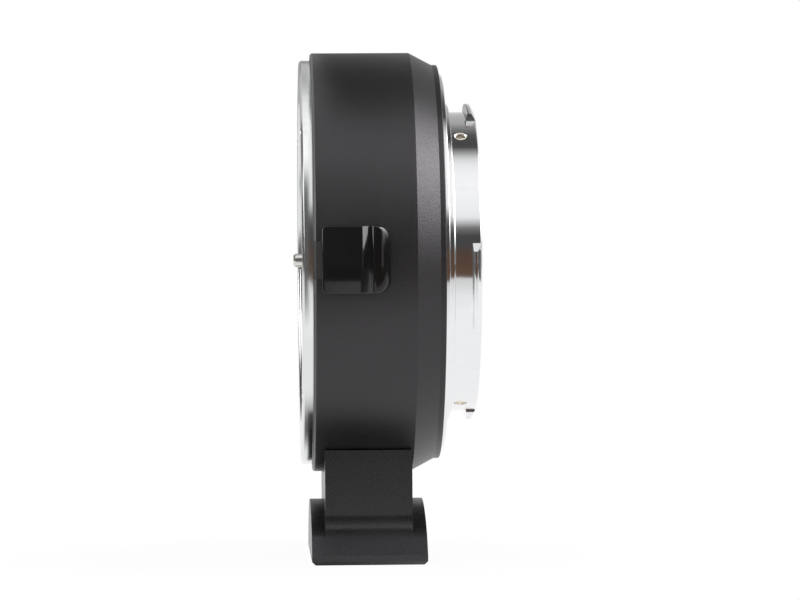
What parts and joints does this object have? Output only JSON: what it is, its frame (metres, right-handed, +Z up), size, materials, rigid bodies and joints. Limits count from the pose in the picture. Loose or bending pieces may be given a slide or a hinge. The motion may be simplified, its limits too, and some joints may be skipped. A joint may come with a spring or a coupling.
{
  "type": "lens mount adapter",
  "caption": "Electronic lens mount adapter: black barrel with a silver lens bayonet ring, a chrome camera bayonet, a sprung release slider, contacts at both ends and a tripod foot.",
  "frame": {"origin": "optical axis in the face of the lens flange", "axes": "+X along the optical axis from lens side to camera side, +Z up away from the tripod foot, release slider on the -Y side"},
  "size_m": [0.0309, 0.0733, 0.0854],
  "materials": {
    "black_anodised": "bead blasted, black anodised",
    "foot_black": "satin black anodised",
    "satin_steel": "fine turned, satin",
    "chrome_plate": "polished chrome plate on brass",
    "gloss_black": "polished black moulding",
    "black_plastic": "fine matt moulding",
    "baffle_black": "light-trap matt black moulding",
    "spring_steel": "plain spring steel",
    "bright_screw_steel": "nickel plated",
    "dark_screw_steel": "black oxide",
    "gold_plate": "gold plated",
    "board_green": "solder mask",
    "chip_black": "moulded package",
    "ribbon_amber": "polyimide film",
    "red_lacquer": "filled lacquer dot"
  },
  "bodies": {
    "housing": {"barrel": "black_anodised", "lens_bayonet_ring": "satin_steel", "lens_mount_screws": "dark_screw_steel", "lens_mount_spring": "spring_steel", "lens_index_mark": "red_lacquer", "slider_guide": "black_plastic", "return_spring": "spring_steel", "lens_contact_block": "black_plastic", "lens_contact_sleeves": "gold_plate", "circuit_board": "board_green", "board_chips": "chip_black", "contact_block_screws": "bright_screw_steel", "flex_ribbon": "ribbon_amber", "light_baffle": "baffle_black", "camera_bayonet": "chrome_plate", "camera_mount_screws": "bright_screw_steel", "camera_index_mark": "red_lacquer", "baffle_screws": "bright_screw_steel", "camera_contact_block": "black_plastic", "camera_contacts": "gold_plate", "tripod_foot": "foot_black", "foot_screws": "dark_screw_steel"},
    "release": {"release_slider": "gloss_black", "slider_carriage": "spring_steel", "slider_screws": "bright_screw_steel", "lock_pin": "bright_screw_steel"},
    "contact_1": {"lens_contact_pin_1": "gold_plate"},
    "contact_2": {"lens_contact_pin_2": "gold_plate"},
    "contact_3": {"lens_contact_pin_3": "gold_plate"},
    "contact_4": {"lens_contact_pin_4": "gold_plate"},
    "contact_5": {"lens_contact_pin_5": "gold_plate"},
    "contact_6": {"lens_contact_pin_6": "gold_plate"},
    "contact_7": {"lens_contact_pin_7": "gold_plate"},
    "contact_8": {"lens_contact_pin_8": "gold_plate"}
  },
  "joints": [
    {"name": "release_slide", "type": "slide", "parent": "housing", "child": "release", "axis": [1, 0, 0], "range_m": [0, 0.002], "stiffness_N_per_m": 400, "springref_m": -0.003, "deforming": ["return_spring"]},
    {"name": "contact_1_slide", "type": "slide", "parent": "housing", "child": "contact_1", "axis": [1, 0, 0], "range_m": [0, 0.0009], "stiffness_N_per_m": 300, "springref_m": -0.001},
    {"name": "contact_2_slide", "type": "slide", "parent": "housing", "child": "contact_2", "axis": [1, 0, 0], "range_m": [0, 0.0009], "stiffness_N_per_m": 300, "springref_m": -0.001},
    {"name": "contact_3_slide", "type": "slide", "parent": "housing", "child": "contact_3", "axis": [1, 0, 0], "range_m": [0, 0.0009], "stiffness_N_per_m": 300, "springref_m": -0.001},
    {"name": "contact_4_slide", "type": "slide", "parent": "housing", "child": "contact_4", "axis": [1, 0, 0], "range_m": [0, 0.0009], "stiffness_N_per_m": 300, "springref_m": -0.001},
    {"name": "contact_5_slide", "type": "slide", "parent": "housing", "child": "contact_5", "axis": [1, 0, 0], "range_m": [0, 0.0009], "stiffness_N_per_m": 300, "springref_m": -0.001},
    {"name": "contact_6_slide", "type": "slide", "parent": "housing", "child": "contact_6", "axis": [1, 0, 0], "range_m": [0, 0.0009], "stiffness_N_per_m": 300, "springref_m": -0.001},
    {"name": "contact_7_slide", "type": "slide", "parent": "housing", "child": "contact_7", "axis": [1, 0, 0], "range_m": [0, 0.0009], "stiffness_N_per_m": 300, "springref_m": -0.001},
    {"name": "contact_8_slide", "type": "slide", "parent": "housing", "child": "contact_8", "axis": [1, 0, 0], "range_m": [0, 0.0009], "stiffness_N_per_m": 300, "springref_m": -0.001}
  ]
}
